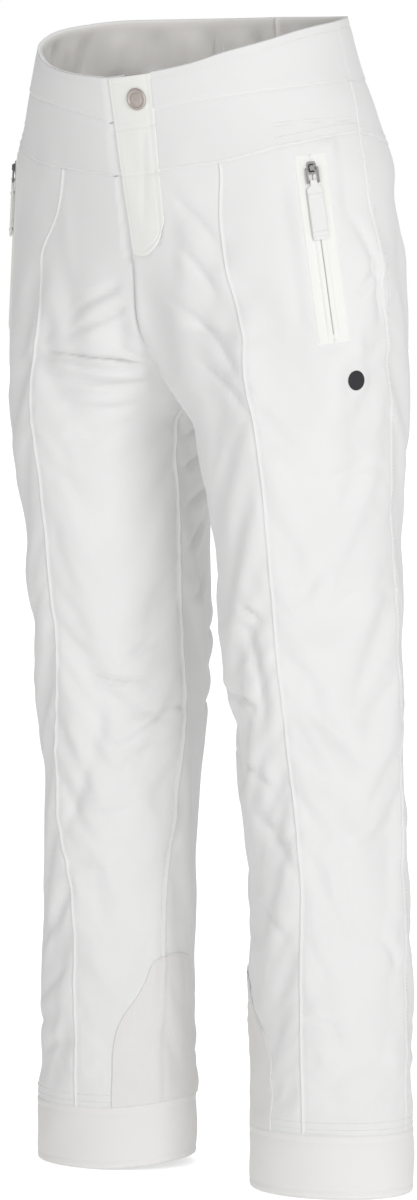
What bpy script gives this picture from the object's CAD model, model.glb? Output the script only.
import math

import bpy
import numpy as np
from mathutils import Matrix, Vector


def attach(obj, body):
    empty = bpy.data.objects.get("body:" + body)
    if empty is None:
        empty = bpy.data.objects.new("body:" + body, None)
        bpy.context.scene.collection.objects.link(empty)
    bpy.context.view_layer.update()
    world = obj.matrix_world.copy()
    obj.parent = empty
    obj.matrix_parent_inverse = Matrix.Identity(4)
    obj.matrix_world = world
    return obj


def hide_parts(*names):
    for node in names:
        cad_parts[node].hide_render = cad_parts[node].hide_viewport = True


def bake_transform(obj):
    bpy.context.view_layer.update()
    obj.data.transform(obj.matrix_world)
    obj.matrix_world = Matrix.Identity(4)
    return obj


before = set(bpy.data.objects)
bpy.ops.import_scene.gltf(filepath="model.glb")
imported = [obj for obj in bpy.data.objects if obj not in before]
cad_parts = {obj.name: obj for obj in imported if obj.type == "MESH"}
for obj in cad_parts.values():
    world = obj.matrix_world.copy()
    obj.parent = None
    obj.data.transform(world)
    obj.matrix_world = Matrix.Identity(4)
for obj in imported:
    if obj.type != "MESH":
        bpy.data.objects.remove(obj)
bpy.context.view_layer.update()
MM = 0.001

# ---------- garment surface, in millimetres
# Height, centre x, centre y, then half-widths of the leg section outside, inside, front and back.
LEVELS = [
    (0, 123, 28.3, 75, 75, 62, 63),
    (60, 123, 28.3, 75, 75, 62, 63),
    (160, 122, 28.3, 74, 74, 63, 65),
    (300, 118, 28.3, 70, 70, 71, 71),
    (400, 111, 25.3, 73, 72, 79, 80),
    (500, 108, 16.3, 78, 74, 85, 89),
    (600, 107, 7.3, 82, 78, 89, 97),
    (660, 105, 1.3, 87, 81, 91, 102),
    (690, 99, 1.3, 95, 96, 94, 105),
    (720, 84, 1.3, 111, 113, 98, 110),
    (770, 45, 1.3, 153, 145, 101, 121),
    (820, 12, 1.3, 184, 150, 107, 127),
    (870, 0, -0.7, 188, 150, 113, 129),
    (930, 0, -2.7, 170, 150, 120.5, 124),
    (970, 0, -4.7, 154, 140, 125, 118),
    (1016, 0, -6.7, 140, 130, 125, 113),
]
# The two legs hang a little differently, so each has its own front seam line.
CREASE_SEAM = {
    1: [(0, -77), (172, -76), (294, -70), (620, -71), (688, -73), (748, -65), (790, -63), (836, -60),
        (888, -57), (930, -57)],
    -1: [(0, -94), (194, -95), (256, -92), (318, -82), (364, -81), (462, -87), (638, -84), (730, -74),
         (768, -67), (812, -62), (848, -67), (888, -70), (930, -71)],
}
SIDE_SEAM = [(0, 8), (200, 10), (420, 13), (650, 13), (730, 6), (780, -1), (880, -3), (950, 5), (1016, 10)]
INSEAM = [(0, -156), (200, -162), (300, -170), (400, -175), (700, -176), (1016, -176)]
# Cross seams: the height at each angle round the body, front to back.
RIM = [(-90, 959), (-75, 963), (-60, 970), (-45, 981), (-30, 990), (-15, 999)]
RIM += [(0, 1005), (32, 1012), (90, 1014)]
BAND_SEAM = [(-90, 921), (-75, 932), (-60, 940), (-16, 954), (10, 958), (90, 955)]
YOKE_SEAM = [(-90, 876), (-76, 881), (-57, 888), (-34, 902), (0, 913), (20, 906), (90, 872)]
CUFF_TOP = 56
CROTCH = 709
LEGS_MEET = 690


class Curve:
    """A smooth value from (position, value) rows, with no overshoot between rows."""

    def __init__(self, rows):
        self.x = np.array([row[0] for row in rows], float)
        self.y = np.array([row[1] for row in rows], float)
        slope = np.diff(self.y) / np.diff(self.x)
        inner = np.zeros(len(slope) - 1)
        same = slope[:-1] * slope[1:] > 0
        inner[same] = 2 * slope[:-1][same] * slope[1:][same] / (slope[:-1][same] + slope[1:][same])
        self.m = np.concatenate([slope[:1], inner, slope[-1:]])

    def __call__(self, at):
        at = np.clip(at, self.x[0], self.x[-1])
        k = np.clip(np.searchsorted(self.x, at, side="right") - 1, 0, len(self.x) - 2)
        span = self.x[k + 1] - self.x[k]
        u = (at - self.x[k]) / span
        return (
            self.y[k] * (1 + 2 * u) * (1 - u) ** 2
            + self.y[k + 1] * u * u * (3 - 2 * u)
            + span * self.m[k] * u * (1 - u) ** 2
            + span * self.m[k + 1] * u * u * (u - 1)
        )


level_curves = [Curve([(row[0], row[i]) for row in LEVELS]) for i in range(1, 7)]
crease = {side: Curve(rows) for side, rows in CREASE_SEAM.items()}
side_seam, inseam = Curve(SIDE_SEAM), Curve(INSEAM)
rim, band_seam, yoke_seam = Curve(RIM), Curve(BAND_SEAM), Curve(YOKE_SEAM)


def folded(t):
    """An angle brought to the range the cross seams use."""
    t = np.abs((np.asarray(t, float) + 90) % 360 - 180)
    return 90 - t


def base(t, z):
    """Points of the smooth left-hand surface at angles t (degrees) and heights z."""
    cx, cy, outside, inside, front, back = (curve(z) for curve in level_curves)
    c, s = np.cos(np.radians(t)), np.sin(np.radians(t))
    x = cx + np.where(c >= 0, outside, inside) * c
    y = cy + np.where(s < 0, front, back) * s
    return np.stack([x, y, z + 0 * c], -1)


def base_normal(t, z):
    """Outward unit normals of the smooth surface."""
    step = 0.5
    across = base(t + step, z) - base(t - step, z)
    up = base(t, z + step) - base(t, z - step)
    n = np.cross(across, up)
    return n / np.maximum(np.linalg.norm(n, axis=-1, keepdims=True), 1e-9)


def reach(t, z):
    """Millimetres along the surface for each degree of angle."""
    return np.linalg.norm(base(t + 0.5, z) - base(t - 0.5, z), axis=-1)


def centre_angle(z, x=0.0):
    """The angle, counted from the outside, where the surface is at a distance x from the centre plane."""
    cx, inside, outside = level_curves[0](z), level_curves[3](z), level_curves[2](z)
    ratio = np.where(x < cx, (x - cx) / inside, (x - cx) / outside)
    return np.degrees(np.arccos(np.clip(ratio, -1, 1)))


def bump(x, width):
    return np.exp(-((x / width) ** 2))


def smooth(edge0, edge1, x):
    u = np.clip((x - edge0) / (edge1 - edge0), 0, 1)
    return u * u * (3 - 2 * u)


# ---------- folds
# Each fold runs between two (angle, height) points; then its width, its depth and its bow in mm.
FOLDS_RIGHT = [
    ((-78, 727), (-150, 716), 5, 5.0, 4), ((-116, 731), (-158, 714), 3, 3.6, 2),
    ((-84, 760), (-103, 792), 8, 1.6, 4), ((-82, 776), (-106, 782), 6, 1.4, 3),
    ((-90, 744), (-110, 768), 6, 2.0, 4), ((-98, 698), (-145, 702), 6, 2.4, 4),
    ((-102, 676), (-146, 684), 6, 1.6, 4), ((-103, 650), (-140, 656), 8, 1.2, 3),
    ((-108, 444), (-153, 437), 4, 2.6, 6), ((-129, 452), (-156, 474), 4, 2.2, 3),
    ((-124, 374), (-170, 418), 7, 2.2, 4), ((-118, 430), (-168, 400), 6, 1.8, 5),
    ((-112, 396), (-150, 366), 7, 1.4, 5), ((-165, 270), (-178, 345), 6, 1.6, 4),
    ((-82, 290), (-118, 420), 12, 1.8, 8), ((-84, 280), (-128, 268), 7, 1.4, 5),
    ((-45, 190), (-95, 256), 9, 1.8, 6), ((-108, 312), (-152, 338), 8, 1.4, 5),
    ((-37, 142), (-90, 184), 8, 1.4, 5), ((178, 620), (150, 645), 6, 2.6, 3),
    ((178, 585), (146, 612), 6, 2.4, 3), ((178, 550), (148, 578), 6, 2.2, 3),
    ((178, 648), (158, 668), 5, 2.4, 2), ((176, 505), (148, 530), 7, 1.8, 3),
    ((-98, 112), (-50, 96), 8, 1.6, 5), ((-60, 130), (-20, 112), 8, 1.4, 4),
]
FOLDS_LEFT = [
    ((-76, 864), (-62, 816), 8, 1.4, 5), ((-78, 830), (-70, 772), 9, 1.6, 6),
    ((-90, 780), (-75, 698), 9, 2.0, 7), ((-93, 746), (-64, 735), 8, 1.6, 6),
    ((-98, 720), (-75, 672), 8, 2.0, 6), ((-14, 845), (-2, 750), 7, 2.6, 6),
    ((-2, 815), (-18, 774), 5, 2.2, 4), ((-38, 616), (8, 630), 9, 1.8, 6),
    ((-33, 508), (5, 528), 9, 1.4, 5), ((-92, 498), (-86, 412), 8, 3.0, 6),
    ((-95, 512), (-80, 497), 5, 2.4, 3), ((-132, 434), (-88, 420), 6, 2.8, 5),
    ((-59, 422), (-20, 370), 9, 2.0, 7), ((-113, 336), (-72, 276), 10, 2.2, 7),
    ((-119, 376), (-85, 352), 7, 2.0, 5), ((-16, 226), (2, 196), 6, 1.8, 3),
    ((-74, 156), (-48, 137), 9, 2.2, 5), ((-118, 254), (-84, 222), 8, 1.6, 5),
    ((-35, 294), (6, 316), 9, 1.4, 5), ((-40, 552), (-53, 518), 8, 1.2, 4),
    ((-60, 100), (-10, 118), 9, 1.2, 5),
]
# The back and the outer sides carry the same kinds of folds on both legs.
FOLDS_BOTH = [
    ((100, 765), (168, 722), 8, 1.6, 6), ((96, 735), (160, 700), 7, 1.2, 5),
    ((70, 772), (150, 740), 9, 2.0, 8), ((110, 700), (165, 680), 7, 1.8, 5),
    ((60, 455), (140, 440), 7, 3.0, 7), ((70, 425), (150, 402), 8, 3.2, 7),
    ((40, 410), (110, 385), 8, 2.4, 6), ((80, 478), (150, 468), 7, 2.0, 6),
    ((60, 360), (130, 330), 9, 1.8, 7),
    ((30, 300), (100, 330), 9, 1.6, 6), ((60, 210), (130, 180), 9, 1.8, 6), ((30, 150), (90, 128), 8, 2.0, 6),
    ((90, 110), (150, 96), 7, 1.8, 5), ((20, 108), (70, 92), 7, 1.4, 4), ((30, 640), (95, 610), 10, 1.4, 7),
    ((50, 560), (120, 590), 10, 1.4, 7), ((25, 830), (60, 800), 10, 1.4, 6),
]
DARTS = [((-137, 368), (-173, 388)), ((-132, 402), (-175, 412))]


def stroke(t, z, start, end, bow):
    """Distance across a fold's bowed line, and how far along it each point lies, 0 to 1."""
    middle_t, middle_z = (start[0] + end[0]) / 2, (start[1] + end[1]) / 2
    scale = float(reach(np.array(middle_t), np.array(middle_z, float)))
    turn = (t - middle_t + 180) % 360 - 180
    x, y = turn * scale, z - middle_z
    half = np.array([(end[0] - start[0]) * scale, end[1] - start[1]]) / 2
    length = np.hypot(*half)
    ux, uy = half / length
    along = (x * ux + y * uy) / length
    across = -x * uy + y * ux - bow * (1 - along**2)
    return across, along


def fold_height(t, z, folds):
    """Height of all folds at the given points."""
    h = np.zeros(np.broadcast(t, z).shape)
    for start, end, width, depth, bow in folds:
        across, along = stroke(t, z, start, end, bow)
        taper = np.clip(1 - along**2, 0, 1) ** 0.8
        crease_line = -bump(across, 0.55 * width)
        pillow = 0.75 * bump(across - 1.5 * width, 1.3 * width)
        pillow += 0.45 * bump(across + 1.6 * width, 1.4 * width)
        h += depth * taper * (crease_line + pillow)
    return h


def waves(t, z, seed):
    """Broad, uneven swells of worn cloth, the same on each run."""
    maker = np.random.default_rng(seed)
    p = base(t, z)
    h = np.zeros(p.shape[:-1])
    for k in range(26):
        size = maker.uniform(35, 120)
        direction = maker.normal(size=3) * (1, 1, 1.4)
        direction = direction / np.linalg.norm(direction)
        h += size * 0.0065 * np.sin(2 * math.pi * (p @ direction) / size + maker.uniform(0, 6.28))
    return h * 0.45


def seam_height(distance, kind):
    """Profile of a seam, by the distance across it in millimetres: a pin tuck, a piping or a lapped seam."""
    if kind == "tuck":
        return 0.95 * bump(distance, 0.85) - 0.3 * bump(distance - 2.4, 1.4) - 0.3 * bump(distance + 2.4, 1.4)
    if kind == "piping":
        return 1.6 * bump(distance, 1.2) - 0.5 * bump(distance - 3.2, 2.0) - 0.5 * bump(distance + 3.2, 2.0)
    step = 0.45 * smooth(-0.7, 0.7, distance) * bump(distance - 3, 6)
    return step - 0.8 * bump(distance, 0.9) - 0.3 * bump(distance - 6.5, 0.8)


# ---------- pocket and fly places
POCKET_ANGLE, POCKET_TOP, POCKET_BOTTOM = -27.0, 890.0, 742.0
top, bottom = base(POCKET_ANGLE, POCKET_TOP), base(POCKET_ANGLE, POCKET_BOTTOM)
pocket_up = (top - bottom) / np.linalg.norm(top - bottom)
pocket_length = np.linalg.norm(top - bottom)
tangent = base(POCKET_ANGLE + 4, 816.0) - base(POCKET_ANGLE - 4, 816.0)
pocket_out = np.cross(tangent, pocket_up)
pocket_out /= np.linalg.norm(pocket_out)
pocket_across = np.cross(pocket_up, pocket_out)
pocket_centre = (top + bottom) / 2
pocket_centre += pocket_out * ((base(POCKET_ANGLE, 816.0) - pocket_centre) @ pocket_out)
FRAME_HALF_WIDTH, FRAME_HALF_LENGTH = 14.0, pocket_length / 2 + 6

BADGE_PLACE = (-15.0, 704.0)

# The edge of the left front under the flap, and the flap's own outline: distances from the centre plane.
FLY_OPENING = Curve([
    (700, 0), (812, 10), (815, 14), (818, 22), (822, 31), (832, 40), (848, 46.3), (1020, 46.8)])
FLAP_EDGE = Curve([(800, 11), (822, 9), (960, 3), (1010, 2.5)])
FLAP_LOW = Curve([(2, 812), (12, 808.5), (22, 808), (31, 812), (40, 821), (46, 836), (50, 842)])


# ---------- cloth simulation
# Each leg's cloth is simulated as a coarse, slightly oversized tube held at its seams; the sag it shows
# is then carried to the fine panels as a height over the smooth surface.
FOLD_DEPTH = 1.5
SIM_LOW, SIM_HIGH, SIM_ROWS, SIM_COLUMNS = 40.0, 880.0, 121, 96
sim_height = {}


def simulate_leg(side):
    sim_t, sim_z = np.meshgrid(
        np.arange(SIM_COLUMNS) * 360 / SIM_COLUMNS - 180, np.linspace(SIM_LOW, SIM_HIGH, SIM_ROWS))
    normals = base_normal(sim_t, sim_z)
    maker = np.random.default_rng(21 if side > 0 else 22)
    start = base(sim_t, sim_z) + normals * maker.normal(0, 0.35, sim_t.shape)[..., None]
    tube = grid_object("simulated_leg", start * MM, None, close=True)
    held = tube.vertex_groups.new(name="held")
    seam_lines = (crease[side](sim_z), side_seam(sim_z), inseam(sim_z))
    hold = np.full(sim_t.shape, 0.06)
    for line in seam_lines:
        away = np.abs((sim_t - line + 180) % 360 - 180) * reach(sim_t, sim_z)
        hold[away < 4] = 0.6
    hold[(sim_z < 62) | (sim_z > 860)] = 1.0
    for value in np.unique(hold):
        held.add(np.flatnonzero(hold.ravel() == value).tolist(), float(value), "REPLACE")
    modifier = tube.modifiers.new("worn_cloth", "CLOTH")
    settings = modifier.settings
    settings.quality = 6
    settings.mass = 0.25
    settings.tension_stiffness = 25
    settings.compression_stiffness = 25
    settings.shear_stiffness = 8
    settings.bending_stiffness = 1.2
    settings.shrink_min = -0.035
    settings.vertex_group_mass = "held"
    settings.pin_stiffness = 1.2
    modifier.collision_settings.use_self_collision = False
    last = 26
    modifier.point_cache.frame_start, modifier.point_cache.frame_end = 1, last
    for number in range(1, last + 1):
        bpy.context.scene.frame_set(number)
    bpy.context.view_layer.objects.active = tube
    bpy.ops.object.modifier_apply(modifier="worn_cloth")
    ended = np.empty(len(tube.data.vertices) * 3)
    tube.data.vertices.foreach_get("co", ended)
    moved = ended.reshape(SIM_ROWS, SIM_COLUMNS, 3) / MM - base(sim_t, sim_z)
    bpy.data.objects.remove(tube)
    bpy.context.scene.frame_set(1)
    height = np.clip((moved * normals).sum(-1), -9, 9)
    return np.clip(height - 0.85 * blurred(height), -6, 6)


def blurred(grid):
    """A grid averaged over its neighbours, so that only the broad shape is left."""
    for axis, reach_in_cells in ((0, 9), (1, 11)):
        total, weights = 0, 0
        for step in range(-2 * reach_in_cells, 2 * reach_in_cells + 1):
            weight = math.exp(-((step / reach_in_cells) ** 2))
            if axis:
                shifted = np.roll(grid, step, 1)
            else:
                shifted = grid[np.clip(np.arange(SIM_ROWS) + step, 0, SIM_ROWS - 1)]
            total, weights = total + weight * shifted, weights + weight
        grid = total / weights
    return grid


def spline_weights(u):
    """The four weights of a uniform cubic spline at a share u between two rows."""
    return ((1 - u) ** 3 / 6, (3 * u**3 - 6 * u**2 + 4) / 6, (-3 * u**3 + 3 * u**2 + 3 * u + 1) / 6, u**3 / 6)


def sag(side, t, z):
    """The simulated sag at the given points, from the coarse grid."""
    if side not in sim_height:
        return np.zeros(np.broadcast(t, z).shape)
    grid = sim_height[side]
    row = (np.asarray(z, float) - SIM_LOW) / (SIM_HIGH - SIM_LOW) * (SIM_ROWS - 1)
    row = np.clip(row, 0, SIM_ROWS - 1.001)
    column = ((np.asarray(t, float) + 180) % 360) / 360 * SIM_COLUMNS
    row, column = np.broadcast_arrays(row, column)
    i, j = np.floor(row).astype(int), np.floor(column).astype(int)
    value = 0
    for step_i, weight_i in enumerate(spline_weights(row - i), -1):
        near = np.clip(i + step_i, 0, SIM_ROWS - 1)
        for step_j, weight_j in enumerate(spline_weights(column - j), -1):
            value = value + weight_i * weight_j * grid[near, (j + step_j) % SIM_COLUMNS]
    busy = 0.5 + 0.5 * bump(z - 400, 110) + 0.3 * bump(z - 720, 60)
    return value * busy * smooth(50, 90, z) * (1 - smooth(800, 870, z))


def seam_shift(z):
    """How far the centre seam swings to the left above the crotch, to run into the flap's edge."""
    return 10 * smooth(CROTCH + 12, 812, z)


def hem_lift(side, t):
    """How far the hem rises on the inner side of each leg."""
    return (8.0 if side < 0 else 1.5) * np.clip(-np.cos(np.radians(np.asarray(t, float) + 25)), 0, 1) ** 1.3


def under_flap(side, p):
    """1 where a front lies under the fly flap, 0 elsewhere, with a soft change between them."""
    x, z = p[..., 0] * side, p[..., 2]
    behind_edge = smooth(-1.5, 1.5, x - FLAP_EDGE(z)) * (1 - smooth(45.5, 47, x))
    above_low = smooth(-0.5, 2.5, z - FLAP_LOW(x))
    right_front_below = 1.0 * (side < 0) * (x > 1) * smooth(800, 808, z)
    return np.maximum(behind_edge * above_low, 0.7 * right_front_below) * (p[..., 1] < 0)


def settle(side, t, z):
    """Displacement of the worn cloth from the smooth surface, without seams."""
    folds = (FOLDS_LEFT if side > 0 else FOLDS_RIGHT) + FOLDS_BOTH
    calm = 1 - 0.8 * smooth(880, 930, z)
    h = calm * (FOLD_DEPTH * fold_height(t, z, folds) + waves(t, z, 11 if side > 0 else 12) + sag(side, t, z))
    near_cuff = 1 - smooth(50, 72, z)
    h *= 1 - 0.7 * near_cuff
    # Above the crotch the two halves share the centre seam, so the cloth lies still there.
    h *= 1 - (1 - smooth(1, 18, np.abs(base(t, z)[..., 0]))) * smooth(CROTCH - 30, CROTCH - 4, z)
    # The cloth lies flat behind the pocket, under the flap and under the badge.
    p, n = base(t, z), base_normal(t, z)
    local = p - pocket_centre
    x, y = local @ pocket_across, local @ pocket_up
    outside = np.maximum(np.abs(x) - FRAME_HALF_WIDTH, np.abs(y) - FRAME_HALF_LENGTH)
    near = (1 - smooth(0, 14, outside)) * (n @ pocket_out > 0.3)
    lift = -(local @ pocket_out) / np.maximum(n @ pocket_out, 0.3)
    h = h * (1 - near) + near * (lift - 0.9)
    front = (1 - smooth(52, 70, np.abs(p[..., 0]))) * smooth(770, 812, z) * (n[..., 1] < 0)
    h = h * (1 - front)
    badge = (1 - smooth(9, 20, np.linalg.norm(p - base(*BADGE_PLACE), axis=-1))) * (side > 0)
    h = h * (1 - badge)
    h = h - 2.1 * under_flap(side, p)
    return h


def seams(side, t, z):
    """Displacement of the stitched seams at the given points."""
    per_degree = reach(t, z)
    h = seam_height((t - crease[side](z)) * per_degree, "tuck") * (1 - smooth(884, 890, z))
    h += seam_height((t - side_seam(z)) * per_degree, "lapped") * smooth(50, 58, z)
    turn = (t - inseam(z) + 180) % 360 - 180
    below_crotch = 1 - smooth(CROTCH - 8, CROTCH + 6, z)
    h += seam_height(turn * per_degree, "piping") * below_crotch * smooth(50, 58, z)
    in_front = base(t, z)[..., 1] < 0
    x = base(t, z)[..., 0] - side * seam_shift(z) * in_front
    open_front = smooth(800, 812, z) * in_front
    h += -1.0 * bump(x, 1.6) * smooth(CROTCH - 2, CROTCH + 10, z) * (1 - open_front)
    h += 0.35 * bump(x - 4.5, 2.2) * smooth(CROTCH - 2, CROTCH + 10, z) * (1 - open_front)
    for seam_curve, kind in ((yoke_seam, "lapped"), (band_seam, "lapped")):
        h += 0.8 * seam_height(z - seam_curve(folded(t)), kind) * (z > 820)
    for start_point, end_point in DARTS:
        across, along = stroke(t, z, start_point, end_point, 0)
        h += (0.5 * bump(across - 2.2, 1.4) - 1.3 * bump(across, 0.9)) * (1 - smooth(0.85, 1, np.abs(along)))
    # The short seam above the pocket fades out towards its two ends.
    from_middle = t + 19
    short_seam = (z - 921.5 - 0.12 * from_middle) * (1 - smooth(17, 19, np.abs(from_middle)))
    h -= 0.5 * bump(short_seam, 0.9) * (np.abs(from_middle) < 19)
    return h


def cloth(side, t, z, depth=0.0, extra=None):
    """Points of the finished cloth surface in metres, on the wanted side."""
    away = settle(side, t, z) + seams(side, t, z) - depth
    if extra is not None:
        away = away + extra
    start = base(t, z)
    p = start + base_normal(t, z) * away[..., None]
    on_centre = bump(start[..., 0], 1.5) * (z > CROTCH - 1)
    p[..., 0] += (start[..., 0] - p[..., 0]) * on_centre
    return p * (side, 1, 1) * MM


# ---------- mesh makers
def new_object(name, verts, faces, material, smooth_shading=True):
    mesh = bpy.data.meshes.new(name)
    mesh.from_pydata([tuple(v) for v in verts], [], faces)
    mesh.validate()
    if smooth_shading:
        mesh.polygons.foreach_set("use_smooth", [True] * len(mesh.polygons))
    obj = bpy.data.objects.new(name, mesh)
    bpy.context.scene.collection.objects.link(obj)
    if material:
        obj.data.materials.append(material)
    return obj


def grid_faces(rows, columns, flip, keep=None, close=False):
    faces = []
    for i in range(rows - 1):
        for j in range(columns - 1 + close):
            a, b = i * columns + j, i * columns + (j + 1) % columns
            quad = (a, b, b + columns, a + columns)
            if keep is None or keep[i, j]:
                faces.append(quad[::-1] if flip else quad)
    return faces


def grid_object(name, points, material, flip=False, keep=None, close=False):
    rows, columns = points.shape[:2]
    return new_object(name, points.reshape(-1, 3), grid_faces(rows, columns, flip, keep, close), material)


def spread(width, pitch, edges=(0.8, 1.6, 2.6, 4.0, 6.0)):
    """Shares from 0 to 1 across a patch, close together at both edges."""
    ends = [e for e in edges if e < width / 3]
    inner = np.linspace(edges[-1], width - edges[-1], max(int(width / pitch), 3))
    full = np.concatenate([[0], ends[:-1], inner, width - np.array(ends[:-1][::-1]), [width]])
    return np.unique(np.round(full / width, 5))


def thicken(obj, thickness, offset=-1):
    modifier = obj.modifiers.new("thickness", "SOLIDIFY")
    modifier.thickness = thickness * MM
    modifier.offset = offset
    return obj


def patch(name, side, first, last, low, high, material, width, height, depth=0.0, keep=None, extra=None,
          pitch=3.2):
    """A piece of cloth between two seam lines (angles by height) and two cross seams (heights by angle)."""
    us, vs = spread(width, pitch), spread(height, pitch)
    u, v = np.meshgrid(us, vs)
    z = low(np.zeros_like(u)) + (high(np.zeros_like(u)) - low(np.zeros_like(u))) * v
    for _ in range(12):
        t = first(z) + (last(z) - first(z)) * u
        z = low(t) + (high(t) - low(t)) * v
    extra_height = extra(t, z) if extra else None
    points = cloth(side, t, z, depth, extra_height)
    mask = None
    if keep is not None:
        inside = keep(t, z)
        mask = inside[:-1, :-1] | inside[1:, :-1] | inside[:-1, 1:] | inside[1:, 1:]
    return grid_object(name, points, material, flip=side < 0, keep=mask)


for leg in (1, -1):
    sim_height[leg] = simulate_leg(leg)


# ---------- materials
def material(name, colour, roughness=0.75, grain=900.0, grain_strength=0.06, weave=None, sheen=0.25,
             metallic=0.0, mottle=0.03, specular=0.35):
    """A node material: mottled colour, a fine grain bump, and an optional weave of ribs."""
    m = bpy.data.materials.new(name)
    m.use_nodes = True
    nodes, links = m.node_tree.nodes, m.node_tree.links
    bsdf = nodes["Principled BSDF"]
    place = nodes.new("ShaderNodeTexCoord")
    cloud = nodes.new("ShaderNodeTexNoise")
    cloud.inputs["Scale"].default_value = 14
    cloud.inputs["Detail"].default_value = 5
    links.new(place.outputs["Object"], cloud.inputs["Vector"])
    ramp = nodes.new("ShaderNodeMix")
    ramp.data_type = "RGBA"
    ramp.inputs["A"].default_value = (*[c * (1 - mottle) for c in colour], 1)
    ramp.inputs["B"].default_value = (*[min(c * (1 + mottle), 1) for c in colour], 1)
    links.new(cloud.outputs["Fac"], ramp.inputs["Factor"])
    links.new(ramp.outputs["Result"], bsdf.inputs["Base Color"])
    bsdf.inputs["Roughness"].default_value = roughness
    bsdf.inputs["Metallic"].default_value = metallic
    bsdf.inputs["Specular IOR Level"].default_value = specular
    bsdf.inputs["Sheen Weight"].default_value = sheen
    bsdf.inputs["Sheen Roughness"].default_value = 0.4
    fine = nodes.new("ShaderNodeTexNoise")
    fine.inputs["Scale"].default_value = grain
    fine.inputs["Detail"].default_value = 3
    links.new(place.outputs["Object"], fine.inputs["Vector"])
    height = fine.outputs["Fac"]
    for scale, direction, strength in weave or ():
        turn = nodes.new("ShaderNodeMapping")
        turn.inputs["Rotation"].default_value = direction
        links.new(place.outputs["Object"], turn.inputs["Vector"])
        ribs = nodes.new("ShaderNodeTexWave")
        ribs.inputs["Scale"].default_value = scale
        ribs.inputs["Distortion"].default_value = 0.6
        ribs.inputs["Detail"].default_value = 1
        links.new(turn.outputs["Vector"], ribs.inputs["Vector"])
        mix = nodes.new("ShaderNodeMix")
        mix.inputs["Factor"].default_value = strength
        links.new(height, mix.inputs["A"])
        links.new(ribs.outputs["Fac"], mix.inputs["B"])
        height = mix.outputs["Result"]
    relief = nodes.new("ShaderNodeBump")
    relief.inputs["Strength"].default_value = grain_strength * 4
    relief.inputs["Distance"].default_value = 0.0004
    links.new(height, relief.inputs["Height"])
    links.new(relief.outputs["Normal"], bsdf.inputs["Normal"])
    return m


TWILL = [(430.0, (0.3, 0.5, 0.0), 0.35)]
shell = material("shell_twill", (0.84, 0.84, 0.836), 0.72, grain=1400, grain_strength=0.03, weave=TWILL)
cuff_cloth = material("cuff_twill", (0.85, 0.84, 0.83), 0.72, grain=1400, grain_strength=0.03, weave=TWILL)
cream = material("cream_twill", (0.90, 0.90, 0.87), 0.75, grain=1400, grain_strength=0.03, weave=TWILL)
thread = material("sewing_thread", (0.86, 0.86, 0.85), 0.6, grain=2500)
facing_cloth = material(
    "brushed_tricot", (0.86, 0.84, 0.81), 0.9, grain=1500, grain_strength=0.12, sheen=0.6, mottle=0.06)
lining_cloth = material(
    "taffeta_lining", (0.62, 0.62, 0.61), 0.6, weave=[(260.0, (0, 0, 0.8), 0.4)], mottle=0.05)
guard_cloth = material(
    "guard_weave", (0.81, 0.80, 0.785), 0.62, weave=[(150.0, (0, 0.8, 0), 0.5), (150.0, (0.8, 0, 0), 0.5)])
webbing = material("webbing", (0.84, 0.84, 0.83), 0.7, weave=[(300.0, (0.8, 0, 0), 0.6)])
tape_cloth = material("zip_tape", (0.78, 0.77, 0.74), 0.8, weave=[(320.0, (0.4, 0.7, 0), 0.6)])
coil_nylon = material("coil_nylon", (0.74, 0.73, 0.70), 0.35, sheen=0.0, specular=0.5)
elastic_cloth = material("ribbed_elastic", (0.75, 0.75, 0.74), 0.8, weave=[(200.0, (0, 1.57, 0), 0.7)])
nickel = material(
    "dark_nickel", (0.17, 0.165, 0.16), 0.38, grain=300, grain_strength=0.02, sheen=0, metallic=1.0)
warm_nickel = material(
    "warm_nickel", (0.60, 0.54, 0.50), 0.36, grain=400, grain_strength=0.02, sheen=0, metallic=1.0)
badge_thread = material("badge_thread", (0.03, 0.03, 0.035), 0.7, weave=[(420.0, (0, 0.6, 0), 0.7)])
label_cloth = material("label_satin", (0.85, 0.85, 0.85), 0.45)

def finish_piece(obj, slot, *stands_for, body="garment"):
    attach(obj, body)
    if stands_for:
        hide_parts(*stands_for)
    return obj


def level(value):
    return lambda t: np.full(np.shape(t), float(value))


def cross(curve, shift=0.0):
    return lambda t: curve(folded(t)) + shift


def hem_line(side, rise):
    """A line round the leg at a fixed distance from the top of its cuff."""
    return lambda t: CUFF_TOP + rise + hem_lift(side, t)


def whole_angle(z):
    """Half the angle the leg's section covers on its own side of the centre plane."""
    return centre_angle(z)


def inner_edge(z, line, inner):
    """A panel's inner edge: the inseam angle up to where the legs meet, then the given line above that."""
    return line + (inner - line) * (1 - smooth(LEGS_MEET, LEGS_MEET + 30, z))


def leg_back(z):
    return inner_edge(z, whole_angle(z), 360 + inseam(z))


def left_front(z):
    """The left front's edge: the centre seam, then round the fly opening."""
    x = np.where(z < 812, seam_shift(z), FLY_OPENING(z))
    return inner_edge(z, -centre_angle(z, x), inseam(z))


def right_front(z):
    """The right front's edge, which runs on under the flap."""
    x = -seam_shift(z) - 8 * smooth(800, 808, z)
    return inner_edge(z, -centre_angle(z, x), inseam(z))


def pocket_clear(t, z):
    """True where the side panel isn't cut away behind the pocket's lips."""
    local = base(t, z) - pocket_centre
    inside = (np.abs(local @ pocket_across) < 8) & (np.abs(local @ pocket_up) < pocket_length / 2 + 0.5)
    return ~(inside & (base_normal(t, z) @ pocket_out > 0.3))


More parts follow.
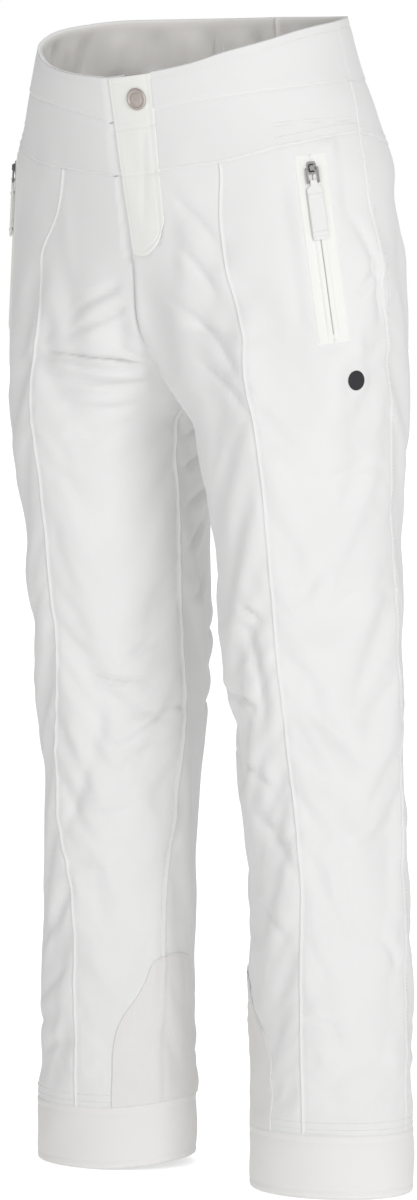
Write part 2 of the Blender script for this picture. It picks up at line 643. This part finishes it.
# ---------- shell
for side, word in ((1, "left"), (-1, "right")):
    front_edge = left_front if side > 0 else right_front
    yoke_line, band_line = cross(yoke_seam), cross(band_seam)
    hem = hem_line(side, -2)
    finish_piece(
        patch("front_panel_%s_cloth" % word, side, front_edge, crease[side], hem, yoke_line, shell, 110, 830),
        "shell_fabric", "front_panel_" + word, "insulation_" + word)
    finish_piece(
        patch("side_panel_%s_cloth" % word, side, crease[side], side_seam, hem, yoke_line, shell, 130, 850,
              keep=pocket_clear),
        "shell_fabric", "side_panel_" + word)
    finish_piece(
        patch("back_panel_%s_cloth" % word, side, side_seam, leg_back, hem, yoke_line, shell, 210, 830),
        "shell_fabric", "back_panel_" + word)
    finish_piece(
        patch("front_yoke_%s_cloth" % word, side, front_edge, side_seam, yoke_line, band_line, shell,
              180, 46),
        "shell_fabric", "front_yoke_" + word)
    finish_piece(
        patch("back_yoke_%s_cloth" % word, side, side_seam, whole_angle, yoke_line, band_line, shell,
              210, 80),
        "shell_fabric", "back_yoke_" + word)


# ---------- waistband with its rolled rim and inner facing
def band_ring(side, word):
    """Outer face, rolled rim and wrinkled inner facing of one half of the waistband."""
    front_edge = left_front if side > 0 else right_front
    us = spread(370, 3.0)
    outer_rows = np.linspace(0, 1, 18)
    roll = [(0.0, 0.0), (0.35, -0.9), (1.2, -1.5), (2.4, -1.6), (3.4, -1.0), (3.8, -0.2)]
    rows, facing = [], []
    for v in outer_rows:
        z = np.full_like(us, 950.0)
        for _ in range(12):
            t = front_edge(z) + (whole_angle(z) - front_edge(z)) * us
            z = band_seam(folded(t)) + (rim(folded(t)) - band_seam(folded(t))) * v
        ridge = -0.35 * bump((1 - v) * 50 - 6, 0.9)
        rows.append(cloth(side, t, z, 0, ridge + 0.5 * np.sin(math.pi * v) ** 0.5))
    for depth, lift in roll:
        rows.append(cloth(side, t, z + lift + 1.5, depth))
    for drop in np.linspace(0, 1, 16):
        zz = z - 0.2 - drop * (z - band_seam(folded(t)) + 14)
        arc = np.cumsum(np.concatenate([[0], np.hypot(*np.diff(base(t, zz)[..., :2], axis=0).T)]))
        lean = 0.35 * (zz - z)
        gather = 2.5 * np.sin(arc / 8.5 + lean * 0.12 + np.sin(arc / 31))
        gather += 0.9 * np.sin(arc / 3.7 + 1.3 + lean * 0.2)
        gather *= smooth(0.05, 0.3, drop) * (1 - smooth(0.55, 0.72, drop)) * smooth(0, 22, arc[-1] - arc)
        facing.append(cloth(side, t, zz, 5.2 + 2.5 * drop + gather))
    outer = grid_object("waistband_%s_cloth" % word, np.array(rows), shell, flip=side < 0)
    facing = np.array([rows[-1]] + facing)
    inner = grid_object("waistband_facing_%s_cloth" % word, facing, facing_cloth, flip=side < 0)
    finish_piece(outer, "shell_fabric", "waistband_" + word)
    finish_piece(inner, "waist_lining", "waistband_facing_" + word, "waist_elastic_" + word)


for side, word in ((1, "left"), (-1, "right")):
    band_ring(side, word)


# ---------- inner layers
def lining_wrinkle(t, z):
    """Loose wrinkles of the lining, which fade out where it meets the waistband."""
    arc = t * 1.6
    wrinkle = 1.6 * np.sin(arc / 9 + z / 37) + 1.2 * np.sin(arc / 5 - z / 23) * np.sin(z / 61)
    wrinkle += 1.0 * np.sin(z / 11 + arc / 30)
    return wrinkle * (1 - smooth(875, 910, z))


def lining_front(side):
    """The lining's front edge: the centre plane, then round the fly opening on the left."""
    def edge(z):
        x = (50.0 if side > 0 else 0.0) * smooth(800, 806, z)
        return np.where(z < 790, -whole_angle(z), -centre_angle(z, x))
    return edge


for side, word in ((1, "left"), (-1, "right")):
    finish_piece(
        patch("lining_%s_cloth" % word, side, lining_front(side), whole_angle, level(24),
              cross(band_seam, -4), lining_cloth, 420, 900, depth=9.5, extra=lining_wrinkle, pitch=6),
        "lining_fabric", "lining_" + word)
    for name, low, high, count, depth, slot, cloth_material in (
            ("gaiter", 16, 228, 50, 14.0, "lining_fabric", lining_cloth),
            ("gaiter_elastic", 12, 36, 10, 16.0, "elastic", elastic_cloth)):
        ring_t, ring_z = np.meshgrid(np.arange(-180, 180, 1.5), np.linspace(low, high, count))
        turn = np.radians(ring_t)
        gather = 1.4 * np.sin(turn * 34) + 0.7 * np.sin(turn * 55 + ring_z / 20)
        near_elastic = 1 - smooth(40, 200, ring_z)
        inward = depth + gather * near_elastic
        ring = (base(ring_t, ring_z) - base_normal(ring_t, ring_z) * inward[..., None]) * (side, 1, 1)
        tube = grid_object("%s_%s_cloth" % (name, word), ring * MM, cloth_material, flip=side < 0, close=True)
        thicken(tube, 0.6)
        finish_piece(tube, slot, "%s_%s" % (name, word))


# ---------- cuffs and scuff guards
def cuff(side, word):
    """A doubled hem: outer face with a stitched top, a soft lower fold, and the inner face."""
    t = np.arange(-180, 180, 1.4)
    profile = [(57, -0.5), (55.6, -0.2), (55, 0.7), (53.5, 0.95), (50, 0.8), (48.6, 0.35), (47.2, 0.8)]
    profile += [(40, 1.0), (30, 1.15), (20, 1.15), (12, 1.0), (8.5, 0.8), (7.2, 0.35), (6, 0.75), (3, 0.8)]
    profile += [(1.0, 0.3), (0.1, -0.8), (0.1, -2.2), (1.0, -3.4), (6, -3.8), (20, -4.2), (40, -4.6)]
    profile += [(60, -5.0)]
    rows = []
    lift = hem_lift(side, t)
    for z, out in profile:
        middle = math.sin(math.pi * min(z, CUFF_TOP) / CUFF_TOP)
        sway = 0.9 * np.sin(np.radians(t) * 3 + 1.1 * side) * middle
        puff = 0.5 * np.sin(np.radians(t) * 7 + z / 9) * middle
        height = np.full_like(t, float(z))
        p = base(t, height) + base_normal(t, height) * (out + sway + puff)[:, None]
        p[:, 2] += lift
        rows.append(p * (side, 1, 1) * MM)
    ring = grid_object("hem_cuff_%s_cloth" % word, np.array(rows), cuff_cloth, flip=side > 0, close=True)
    finish_piece(ring, "shell_fabric", "hem_cuff_" + word)


GUARD_FRONT = {
    -1: Curve([(56, -122), (98, -122), (122, -125), (138, -131), (154, -140), (170, -147), (184, -152),
               (191, -160)]),
    1: Curve([(56, -104), (112, -104), (134, -113), (150, -125), (165, -136), (178, -145), (187, -154),
              (191, -160)]),
}


def guard_top(t):
    """The guard's upper edge: highest at the middle of the inner side."""
    turn = (np.asarray(t, float) + 174 + 180) % 360 - 180
    return 192 - 0.012 * turn**2


def guard_relief(t, z):
    """A raised band along the guard's top, between two rows of stitches."""
    drop = guard_top(t) - z
    return 1.0 + 0.5 * smooth(0.3, 1.5, drop) * (1 - smooth(7, 8, drop)) - 0.5 * bump(drop - 3, 0.7) + 0 * t


for side, word in ((1, "left"), (-1, "right")):
    cuff(side, word)
    guard_front = GUARD_FRONT[side]
    guard = patch("scuff_guard_%s_cloth" % word, side, guard_front, lambda z: -348 - guard_front(z),
                  hem_line(side, -1), guard_top, guard_cloth, 130, 134, extra=guard_relief)
    finish_piece(thicken(guard, 1.2, 1), "guard_fabric", "scuff_guard_" + word)


# ---------- pocket welts, coils and pullers
def pocket_place(side, x, y, z):
    """A point in the pocket's flat frame, in metres."""
    p = pocket_centre + np.multiply.outer(x, pocket_across) + np.multiply.outer(y, pocket_up)
    p = p + np.multiply.outer(z, pocket_out)
    return p * (side, 1, 1) * MM


def coil_round(x):
    """The round top of a zip's two coils, side by side."""
    return np.sqrt(np.clip(1 - ((np.abs(x) - 1.15) / 1.2) ** 2, 0, 1))


def pocket_parts(side, word):
    """The welt's two lips, the zip's coil and tape, and the webbing strap that pulls the slider."""
    half = pocket_length / 2
    lips = []
    for lip in (-1, 1):
        across = [0.4, 0.45, 0.9, 1.7, 2.8, 3.8, 4.6, 5.2, 5.8, 7, 9, 10.6, 11.2, 11.8, 12.8, 13.6, 14, 14.05]
        along = spread(2 * FRAME_HALF_LENGTH, 3.0) * 2 * FRAME_HALF_LENGTH - FRAME_HALF_LENGTH
        x, y = np.meshgrid(across, along)
        inside = FRAME_HALF_LENGTH - np.abs(y)
        roll = 1.5 * np.sqrt(np.clip(1 - ((np.abs(x) - 2.6) / 2.6) ** 2, 0, 1)) * smooth(5.0, 7.5, inside)
        stitch = 0.25 * bump(x - 5.4, 0.6) + 0.15 * bump(x - 11.2, 0.6) + 0.15 * bump(inside - 2.8, 0.6)
        h = 0.1 + 0.8 * roll - stitch
        h -= 1.1 * smooth(12.9, 14.05, x) + 1.1 * (1 - smooth(0, 1.2, inside))
        h = np.where((np.abs(x) < 0.43) & (inside > 6), -1.2, h)
        gap = np.where(inside > 6.5, x, np.where(x < 1.2, 0.0, x))
        lips.append(grid_object("lip", pocket_place(side, gap * lip, y, h), cream, flip=(side * lip) < 0))
    bpy.ops.object.select_all(action="DESELECT")
    for lip in lips:
        lip.select_set(True)
    bpy.context.view_layer.objects.active = lips[0]
    bpy.ops.object.join()
    welt = lips[0]
    welt.name = "pocket_welt_%s_cloth" % word
    finish_piece(welt, "shell_fabric", "pocket_welt_" + word)

    y = np.arange(-half, half, 0.25)
    x, yy = np.meshgrid(np.linspace(-2.3, 2.3, 15), y)
    tooth = 0.28 * np.sin(2 * math.pi * yy / 1.5 + np.sign(x) * 1.57) * (np.abs(x) > 0.2)
    teeth = pocket_place(side, x, yy, -1.35 + 0.75 * coil_round(x) + tooth)
    coil = grid_object("pocket_zip_coil_%s_teeth" % word, teeth, coil_nylon, flip=side < 0)
    finish_piece(coil, "zip_coil", "pocket_zip_coil_" + word)
    x, yy = np.meshgrid(np.linspace(-11.3, 11.3, 40), np.linspace(-half - 1, half + 1, 120))
    sheet = pocket_place(side, x, yy, -1.9 + 0.12 * np.sin(x * 4) * np.sin(yy * 4))
    tape = grid_object("pocket_zip_tape_%s_cloth" % word, sheet, tape_cloth, flip=side < 0)
    finish_piece(tape, "zip_tape", "pocket_zip_tape_" + word)

    # The puller: a webbing strap with rounded edges, two bar tacks and a slightly swollen end.
    link_end = half - 6.5 - 12
    eye = 2.85
    start, end = link_end + 1.9, link_end - 49
    ys = [*np.linspace(start, start - 5, 6), *np.linspace(start - 5.6, end + 1.5, 90)]
    ys += [end + 0.7, end + 0.2, end]
    ring_angle = np.linspace(0, 2 * math.pi, 28, endpoint=False)
    rows = []
    for yv in ys:
        wide = 3.2 + 3.4 * smooth(start - 4, start - 7.5, yv)
        rounding = min(1.0, math.sqrt(max(yv - end, 0) / 2.0 + 0.02))
        thick = 1.25 * rounding + 0.35 * bump(yv - start + 0.4, 1.6)
        for tack, rise in ((start - 13, 0.55), (end + 6, 0.5)):
            thick += rise * bump(yv - tack, 1.6) - 0.55 * bump(abs(yv - tack) - 1.9, 0.7)
        c, s = np.cos(ring_angle), np.sin(ring_angle)
        x = np.sign(c) * np.abs(c) ** 0.35 * wide * (0.75 + 0.25 * rounding)
        zz = np.sign(s) * np.abs(s) ** 0.7 * thick
        rows.append(pocket_place(side, x, np.full_like(x, yv), eye + zz))
    rows = [np.repeat(rows[0].mean(0)[None], 28, 0)] + rows + [np.repeat(rows[-1].mean(0)[None], 28, 0)]
    strap = grid_object("pocket_puller_%s_webbing" % word, np.array(rows), webbing, flip=side > 0, close=True)
    finish_piece(strap, "webbing", "pocket_puller_strap_" + word, body="pocket_strap_" + word)


for side, word in ((1, "left"), (-1, "right")):
    pocket_parts(side, word)
    bag_t, bag_z = np.meshgrid(np.linspace(-70, 6, 50), np.linspace(655, 884, 70))
    bag_depth = 8.3 + 0.8 * np.sin(bag_z / 13 + bag_t / 9)
    bag = (base(bag_t, bag_z) - base_normal(bag_t, bag_z) * bag_depth[..., None]) * (side, 1, 1)
    bag_piece = grid_object("pocket_bag_%s_cloth" % word, bag * MM, lining_cloth, flip=side < 0)
    finish_piece(thicken(bag_piece, 0.6), "lining_fabric", "pocket_bag_" + word)


# ---------- fly
def flap_sheet():
    """The fly flap: a rounded free edge, a curved lower end and two cross seams."""
    us = spread(44, 1.6, (0.4, 0.8, 1.4, 2.2, 3.2))
    vs = spread(155, 0.9, (0.4, 0.8, 1.4, 2.2, 3.2))
    u, v = np.meshgrid(us, vs)
    z = 810 + 150 * v
    for _ in range(15):
        x = FLAP_EDGE(z) + (48.5 - FLAP_EDGE(z)) * u
        t = -centre_angle(z, x)
        low = FLAP_LOW(x)
        z = low + (rim(folded(t)) - low) * v
    from_edge = x - FLAP_EDGE(z)
    from_low = z - low
    from_top = rim(folded(t)) - z
    edge_round = -1.3 * bump(from_edge, 0.7) - 1.3 * bump(from_low, 0.8)
    stitch = -0.3 * bump(from_edge - 3.0, 0.7) - 0.25 * bump(from_top - 5, 0.8)
    curve = -0.45 * bump(from_low - 5, 0.8) * (x < 42) - 0.45 * bump(x - 42, 0.8) * (from_low > 3)
    cross_seams = -0.6 * bump(z - (876 + 0.06 * x), 0.8) - 0.6 * bump(z - (915 + 0.1 * x), 0.8)
    soft = 0.4 * np.sin(z / 15 + x / 9) * np.sin(math.pi * np.clip(from_edge / 40, 0, 1))
    soft *= 1 - smooth(915, 930, z)
    groove = 0.48 * bump(x - (30 + (z - 870) * 0.12), 3.5) * smooth(830, 850, z) * (1 - smooth(905, 925, z))
    join = -1.4 * smooth(46.5, 48.5, x)
    h = 0.1 + edge_round + stitch + curve + cross_seams + soft - groove + join
    points = (base(t, z) + base_normal(t, z) * h[..., None]) * MM
    flap = grid_object("fly_flap_cloth", points, cream)
    thicken(flap, 1.3)
    bpy.context.view_layer.objects.active = flap
    bpy.ops.object.modifier_apply(modifier="thickness")
    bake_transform(flap)
    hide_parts("fly_flap")


flap_sheet()


def fly_sheet(name, x_low, x_high, z_low, z_high, depth, cloth_material, slot, node, ripple=0.3):
    """A flat sheet behind the flap, between two distances from the centre plane."""
    x, z = np.meshgrid(np.linspace(x_low, x_high, 26), np.linspace(z_low, z_high, 60))
    t = -centre_angle(z, x)
    inside = np.minimum(np.minimum(x - x_low, x_high - x), np.minimum(z - z_low, z_high - z))
    h = -depth - 0.35 * bump(inside, 0.9) - 0.25 * bump(inside - 3, 0.7) + ripple * np.sin(z / 9 + x / 6)
    points = (base(t, z) + base_normal(t, z) * h[..., None]) * MM
    sheet = grid_object(name, points, cloth_material)
    finish_piece(thicken(sheet, 0.9), slot, node)


fly_sheet("fly_panel_right_cloth", -15, 16, 806, 930, 7.3, shell, "shell_fabric", "fly_panel_right")
fly_sheet("fly_panel_left_cloth", 28, 52, 806, 934, 7.3, shell, "shell_fabric", "fly_panel_left")
fly_sheet("fly_shield_cloth", -6, 50, 806, 936, 11.6, shell, "shell_fabric", "fly_shield")
fly_sheet("waistband_underlap_cloth", -14, 42.5, 928.5, 957, 4.1, shell, "shell_fabric", "waistband_underlap",
          ripple=0.0)

fly_low = base(-float(centre_angle(822.0, 22.0)), 822.0)
fly_high = base(-float(centre_angle(914.0, 22.0)), 914.0)
fly_up = (fly_high - fly_low) / np.linalg.norm(fly_high - fly_low)
fly_out = np.cross(np.array([1, 0.1, 0]), fly_up)
fly_out /= np.linalg.norm(fly_out)
fly_across = np.cross(fly_up, fly_out)
fly_length = np.linalg.norm(fly_high - fly_low)


def fly_place(x, y, z):
    """A point in the fly zip's flat frame, in metres."""
    p = fly_low + np.multiply.outer(x, fly_across) + np.multiply.outer(y, fly_up)
    return (p + np.multiply.outer(z, fly_out)) * MM


x, y = np.meshgrid(np.linspace(-2.3, 2.3, 15), np.arange(0, fly_length, 0.3))
h = -7.9 + 0.8 * coil_round(x) + 0.28 * np.sin(4.2 * y + np.sign(x) * 1.57)
finish_piece(grid_object("fly_zip_coil_teeth", fly_place(x, y, h), coil_nylon), "zip_coil", "fly_zip_coil")
for side, word in ((1, "left"), (-1, "right")):
    x, y = np.meshgrid(np.linspace(0.45, 11.4, 20), np.linspace(-4, fly_length + 6, 90))
    h = -8.45 + 0.12 * np.sin(x * 4) * np.sin(y * 4)
    tape = grid_object("fly_zip_tape_%s_cloth" % word, fly_place(x * side, y, h), tape_cloth, flip=side < 0)
    finish_piece(tape, "zip_tape", "fly_zip_tape_" + word)

# ---------- badge: plain dense embroidery
badge_point = base(*BADGE_PLACE)
badge_normal = base_normal(*BADGE_PLACE)
badge_across = np.cross([0, 0, 1], badge_normal)
badge_across /= np.linalg.norm(badge_across)
badge_up = np.cross(badge_normal, badge_across)
angle, radius = np.meshgrid(
    np.linspace(0, 2 * math.pi, 72, endpoint=False), [0, 2, 4, 6, 7.2, 7.9, 8.3, 8.45])
height = 0.9 * np.sqrt(np.clip(1 - (radius / 8.5) ** 4, 0, 1)) + 0.1 * np.sin(angle * 36) * (radius > 6.5)
disc = badge_point + np.multiply.outer(radius * np.cos(angle), badge_across)
disc = disc + np.multiply.outer(radius * np.sin(angle), badge_up) + np.multiply.outer(height, badge_normal)
badge = grid_object("badge_embroidery", disc * MM, badge_thread, close=True, flip=True)
finish_piece(badge, "badge_thread", "badge")


# ---------- label and hanger loops
def ribbon(name, centre, across, up, out, half_x, half_y, hollow, cloth_material, slot, node=None):
    """A flat ribbon or a loop of ribbon, with rounded corners and a slight curl."""
    a = np.linspace(0, 2 * math.pi, 48, endpoint=False)
    square_x = np.sign(np.cos(a)) * np.abs(np.cos(a)) ** 0.4
    square_y = np.sign(np.sin(a)) * np.abs(np.sin(a)) ** 0.4
    rings = []
    for share in ((1.0, 0.98, 0.75, 0.7) if hollow else (1.0, 0.98, 0.6, 0.3, 0.01)):
        x = square_x * half_x * share
        y = square_y * (half_y - half_x * (1 - share) * 1.2 if hollow else half_y * share)
        z = 0.35 + 0.5 * np.sin(x / 9 + 0.5) - 0.3 * (share == 1.0)
        ring = centre + np.multiply.outer(x, across) + np.multiply.outer(y, up)
        rings.append(ring + np.multiply.outer(z, out))
    sheet = grid_object(name, np.array(rings) * MM, cloth_material, close=True)
    thicken(sheet, 0.6)
    finish_piece(sheet, slot, *([node] if node else []))


def inner_point(side, t, z, depth):
    """A point inside the surface, and the direction that points further inside."""
    t, z = float(t), float(z)
    inward = -base_normal(t, z)
    return (base(t, z) + inward * depth) * (side, 1, 1), inward * (side, 1, 1)


UP = np.array([0, 0, 1.0])
p, n = inner_point(1, 90, 985, 7.0)
ribbon("care_label_cloth", p, np.array([1.0, 0, 0]), UP, n, 17, 13, False, label_cloth, "label_fabric",
       "care_label")
for side, word, node in ((1, "left", "hanger_loops"), (-1, "right", None)):
    p, n = inner_point(side, 66, 985, 7.0)
    ribbon("hanger_loop_%s_webbing" % word, p, np.cross(UP, n), UP, n, 4.5, 21, True, webbing, "webbing",
           node)


# ---------- top stitching
def stitch_mesh(name, runs):
    """Rows of thread stitches: each run is (side, angles, heights, lift) along a line on the cloth."""
    verts, faces = [], []
    for side, t, z, lift in runs:
        p = cloth(side, t, z, -lift) / MM
        n = base_normal(t, z) * (side, 1, 1)
        step = np.linalg.norm(np.diff(p, axis=0), axis=1)
        along = np.concatenate([[0], np.cumsum(step)])
        for s in np.arange(1.5, along[-1] - 2.5, 3.2):
            a = np.array([np.interp(s, along, p[:, i]) for i in range(3)])
            b = np.array([np.interp(s + 2.3, along, p[:, i]) for i in range(3)])
            normal = np.array([np.interp(s, along, n[:, i]) for i in range(3)])
            d = b - a
            across = np.cross(normal, d)
            across = across / max(np.linalg.norm(across), 1e-9) * 0.32
            up = normal * 0.3
            first = len(verts)
            for share in (0.18, 0.82):
                m = a + d * share
                verts += [m + across, m + up, m - across, m - up]
            verts += [a, b]
            for k in range(4):
                j = (k + 1) % 4
                faces.append((first + k, first + j, first + 4 + j, first + 4 + k))
                faces.append((first + 8, first + j, first + k))
                faces.append((first + 9, first + 4 + k, first + 4 + j))
    obj = new_object(name, np.array(verts) * MM, faces, thread)
    finish_piece(obj, "shell_fabric")


def line_down(curve, offset, low, high, side):
    """A run of stitches down a leg seam, beside it by the offset."""
    z = np.arange(low, high, 4.0)
    t = curve(z) + offset / reach(curve(z), z)
    return (side, t, z, 0.12)


def line_round(curve, offset, first, last, side):
    """A run of stitches along a cross seam, above it by the offset."""
    t = np.arange(first, last, 1.6)
    return (side, t, curve(folded(t)) + offset, 0.12)


pocket_arc = Curve([(-37, 918), (-22, 922), (-1, 924)])
for side, word in ((1, "left"), (-1, "right")):
    begin = -78 if side > 0 else -90
    runs = [line_down(side_seam, 6.5, 58, 950, side), line_down(side_seam, 2.2, 58, 950, side)]
    runs += [line_round(yoke_seam, 2.2, begin, 90, side), line_round(yoke_seam, 8.5, -38, 90, side)]
    runs += [line_round(band_seam, 2.2, begin, 90, side), line_round(rim, -6, begin, 90, side)]
    runs += [line_round(pocket_arc, 0, -37, -1, side), line_round(pocket_arc, 3, -37, -1, side)]
    runs += [line_down(inseam, 3.2, 58, 690, side)]
    ring = np.arange(-180, 180.1, 1.6)
    for height in (60, 66):
        runs.append((side, ring, height + hem_lift(side, ring), 0.15))
    stitch_mesh("top_stitching_" + word, runs)

# ---------- metal pieces keep their CAD shape
METAL_PIECES = {
    nickel: ("pocket_slider_left", "pocket_slider_right", "pocket_pull_link_left", "pocket_pull_link_right",
             "fly_zip_slider", "fly_zip_pull", "fly_zip_stop"),
    warm_nickel: ("snap_cap", "snap_socket", "snap_stud"),
}
for metal, names in METAL_PIECES.items():
    for name in names:
        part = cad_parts[name]
        part.data.materials.clear()
        part.data.materials.append(metal)

# ---------- floor, light and camera
floor_material = material("pale_floor", (0.93, 0.93, 0.93), 0.9, sheen=0)
floor_shader = floor_material.node_tree.nodes["Principled BSDF"]
floor_shader.inputs["Emission Color"].default_value = (1, 1, 1, 1)
floor_nodes, floor_links = floor_material.node_tree.nodes, floor_material.node_tree.links
floor_place = floor_nodes.new("ShaderNodeTexCoord")
floor_reach = floor_nodes.new("ShaderNodeVectorMath")
floor_reach.operation = "LENGTH"
floor_links.new(floor_place.outputs["Object"], floor_reach.inputs[0])
floor_glow = floor_nodes.new("ShaderNodeMapRange")
for socket, value in (("From Min", 0.25), ("From Max", 1.3), ("To Min", 0.6), ("To Max", 0.85)):
    floor_glow.inputs[socket].default_value = value
floor_links.new(floor_reach.outputs["Value"], floor_glow.inputs["Value"])
floor_seen = floor_nodes.new("ShaderNodeLightPath")
floor_share = floor_nodes.new("ShaderNodeMix")
floor_share.inputs["A"].default_value = 0.22
floor_links.new(floor_seen.outputs["Is Camera Ray"], floor_share.inputs["Factor"])
floor_links.new(floor_glow.outputs["Result"], floor_share.inputs["B"])
floor_links.new(floor_share.outputs["Result"], floor_shader.inputs["Emission Strength"])
floor_x, floor_y = np.meshgrid(np.linspace(-14, 14, 15), np.linspace(-8, 20, 15))
floor_points = np.stack([floor_x, floor_y, np.full_like(floor_x, -0.0005)], -1)
floor = grid_object("floor", floor_points, floor_material)

world = bpy.data.worlds.new("studio")
bpy.context.scene.world = world
world.use_nodes = True
backdrop = world.node_tree.nodes["Background"]
backdrop.inputs["Color"].default_value = (1, 1, 1, 1)
seen = world.node_tree.nodes.new("ShaderNodeLightPath")
glow = world.node_tree.nodes.new("ShaderNodeMapRange")
glow.inputs["To Min"].default_value = 0.45
glow.inputs["To Max"].default_value = 1.0
world.node_tree.links.new(seen.outputs["Is Camera Ray"], glow.inputs["Value"])
world.node_tree.links.new(glow.outputs["Result"], backdrop.inputs["Strength"])


def area_light(name, position, target, size, power):
    light = bpy.data.lights.new(name, "AREA")
    light.size = size
    light.energy = power
    obj = bpy.data.objects.new(name, light)
    bpy.context.scene.collection.objects.link(obj)
    obj.location = position
    obj.rotation_euler = (Vector(target) - Vector(position)).to_track_quat("-Z", "Y").to_euler()


area_light("key", (3.9, -1.6, 1.9), (0, 0, 0.55), 1.5, 58)
area_light("fill", (0.8, -3.8, 1.6), (0, 0, 0.5), 2.0, 17)
area_light("top_light", (0.2, 0.4, 3.2), (0, 0, 0.6), 1.4, 9)

TARGET = Vector((0, 0.0073, 0.507))
DISTANCE, AZIMUTH, CAMERA_HEIGHT, LENS = 5.5, math.radians(40), 0.9, 189.5
camera_data = bpy.data.cameras.new("camera")
camera = bpy.data.objects.new("camera", camera_data)
bpy.context.scene.collection.objects.link(camera)
camera.location = (DISTANCE * math.sin(AZIMUTH), TARGET.y - DISTANCE * math.cos(AZIMUTH), CAMERA_HEIGHT)
camera.rotation_euler = (TARGET - camera.location).to_track_quat("-Z", "Y").to_euler()
camera_data.sensor_fit = "VERTICAL"
camera_data.sensor_height = 36
camera_data.lens = LENS
camera_data.shift_x = 0.00125
camera_data.clip_end = 50
bpy.context.scene.camera = camera
bpy.context.scene.view_settings.view_transform = "Standard"
